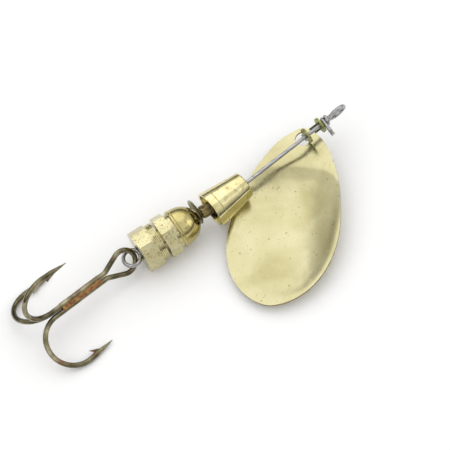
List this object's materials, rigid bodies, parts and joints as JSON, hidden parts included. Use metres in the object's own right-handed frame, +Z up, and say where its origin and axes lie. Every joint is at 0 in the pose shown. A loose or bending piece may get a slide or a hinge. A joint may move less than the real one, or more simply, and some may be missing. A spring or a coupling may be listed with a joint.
{
  "type": "inline spinner",
  "caption": "Inline spinner fishing lure: a dished brass blade on a clevis turns round a wire shaft with a bell, beads and faceted collars; a treble hook hangs from the rear loop.",
  "frame": {"origin": "centre of the front line eye, where the fishing line is tied", "axes": "+X forwards along the lure towards the line, +Z up from the table that the lure lies on"},
  "size_m": [0.0797, 0.0351, 0.0175],
  "materials": {
    "wire_steel": "satin",
    "clevis_brass": "satin",
    "blade_brass": "polished",
    "bell_brass": "polished",
    "gear_brass": "satin",
    "washer_brass": "satin",
    "dome_brass": "polished",
    "collar_brass": "satin",
    "hook_bronze": "satin",
    "braze_rust": "rough"
  },
  "bodies": {
    "shaft": {"shaft_wire": "wire_steel"},
    "clevis": {"clevis": "clevis_brass"},
    "blade": {"blade": "blade_brass"},
    "bell": {"bell": "bell_brass"},
    "gear_bead": {"gear_bead": "gear_brass"},
    "cup_washer": {"cup_washer": "washer_brass"},
    "nose_dome": {"nose_dome": "dome_brass"},
    "front_spacer": {"front_spacer": "collar_brass"},
    "front_collar": {"front_collar": "collar_brass"},
    "rear_spacer": {"rear_spacer": "collar_brass"},
    "rear_collar": {"rear_collar": "collar_brass"},
    "treble": {"treble_double_hook": "hook_bronze", "treble_single_hook": "hook_bronze", "treble_braze": "braze_rust"}
  },
  "joints": [
    {"name": "clevis_spin", "type": "hinge", "parent": "shaft", "child": "clevis", "pos_m": [-0.00615, -0.00063, -0.00043], "axis": [0.9925, 0.1011, 0.0694], "continuous": true},
    {"name": "blade_swing", "type": "hinge", "parent": "clevis", "child": "blade", "pos_m": [-0.00613, 0.00077, -0.00286], "axis": [0.1222, -0.8616, -0.4927], "range_deg": [0, 105]},
    {"name": "bell_spin", "type": "hinge", "parent": "shaft", "child": "bell", "pos_m": [-0.02833, -0.00288, -0.00198], "axis": [0.9925, 0.1011, 0.0694], "continuous": true},
    {"name": "gear_spin", "type": "hinge", "parent": "shaft", "child": "gear_bead", "pos_m": [-0.03343, -0.00263, -0.00234], "axis": [0.9976, 0, 0.0698], "continuous": true},
    {"name": "washer_spin", "type": "hinge", "parent": "shaft", "child": "cup_washer", "pos_m": [-0.03508, -0.00263, -0.00245], "axis": [0.9976, 0, 0.0698], "continuous": true},
    {"name": "dome_spin", "type": "hinge", "parent": "shaft", "child": "nose_dome", "pos_m": [-0.03812, -0.00263, -0.00267], "axis": [0.9976, 0, 0.0698], "continuous": true},
    {"name": "front_spacer_spin", "type": "hinge", "parent": "shaft", "child": "front_spacer", "pos_m": [-0.04134, -0.00263, -0.00289], "axis": [0.9976, 0, 0.0698], "continuous": true},
    {"name": "front_collar_spin", "type": "hinge", "parent": "shaft", "child": "front_collar", "pos_m": [-0.04295, -0.00263, -0.003], "axis": [0.9976, 0, 0.0698], "continuous": true},
    {"name": "rear_spacer_spin", "type": "hinge", "parent": "shaft", "child": "rear_spacer", "pos_m": [-0.04534, -0.00263, -0.00317], "axis": [0.9976, 0, 0.0698], "continuous": true},
    {"name": "rear_collar_spin", "type": "hinge", "parent": "shaft", "child": "rear_collar", "pos_m": [-0.04775, -0.00263, -0.00334], "axis": [0.9976, 0, 0.0698], "continuous": true},
    {"name": "treble_swing", "type": "hinge", "parent": "shaft", "child": "treble", "pos_m": [-0.05124, -0.00263, -0.00358], "axis": [-0.0694, -0.1045, 0.9921], "range_deg": [-72, 72]}
  ]
}
